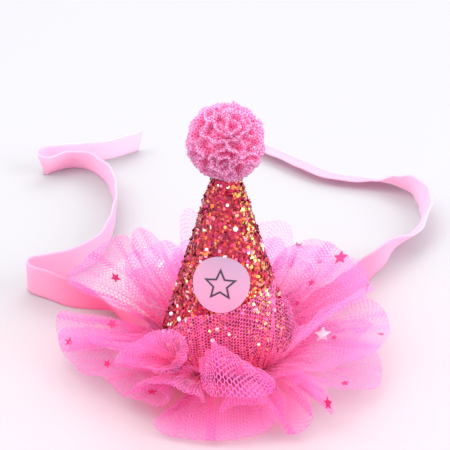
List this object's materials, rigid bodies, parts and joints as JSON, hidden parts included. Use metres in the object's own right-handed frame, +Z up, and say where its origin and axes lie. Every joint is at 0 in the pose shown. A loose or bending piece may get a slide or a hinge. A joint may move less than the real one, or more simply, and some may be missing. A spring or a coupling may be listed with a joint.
{
  "type": "new year party hat",
  "caption": "Small glitter cone party hat with a tulle pompom, a round front badge, a gathered tulle ruffle with foil stars and flat elastic ties.",
  "frame": {"origin": "centre of the felt underside, which is the plane the hat stands on, under the cone's axis", "axes": "+Z up the cone to the pompom; -Y is the front, where the badge is; +X to the right seen from the front"},
  "size_m": [0.2207, 0.2967, 0.1208],
  "materials": {
    "glitter_canvas": "chunky glitter, crimson with gold",
    "card": "stiff card, matte",
    "hot_melt": "clear-milky glue",
    "pompom_tulle": "ruched net tulle",
    "thread": "polyester thread",
    "badge_satin": "pale satin",
    "badge_foam": "foam pad",
    "badge_ink": "dark grey print",
    "tulle": "gathered hexagon net, hot pink",
    "felt": "needled felt",
    "tie_elastic": "flat fold-over elastic, soft sheen",
    "foil_pink": "pink metallic foil",
    "foil_silver": "silver foil"
  },
  "bodies": {
    "root": {"tie_tacks": "thread", "tie_left": "tie_elastic", "tie_right": "tie_elastic", "felt_backing": "felt", "felt_glue_film": "hot_melt", "felt_base": "felt", "ruffle_lower": "tulle", "gathering_thread_lower": "thread", "ruffle_middle": "tulle", "gathering_thread_middle": "thread", "ruffle_upper": "tulle", "gathering_thread_upper": "thread", "ruffle_glue_ring": "hot_melt", "cone_liner": "card", "cone_shell": "glitter_canvas", "cone_base_glue": "hot_melt", "tip_glue_plug": "hot_melt", "pompom_tie_thread": "thread", "pompom": "pompom_tulle", "badge_adhesive": "badge_foam", "badge_card": "card", "badge_satin_cover": "badge_satin", "badge_print": "badge_ink", "star_sequins_pink": "foil_pink", "star_sequins_silver": "foil_silver"}
  },
  "joints": []
}
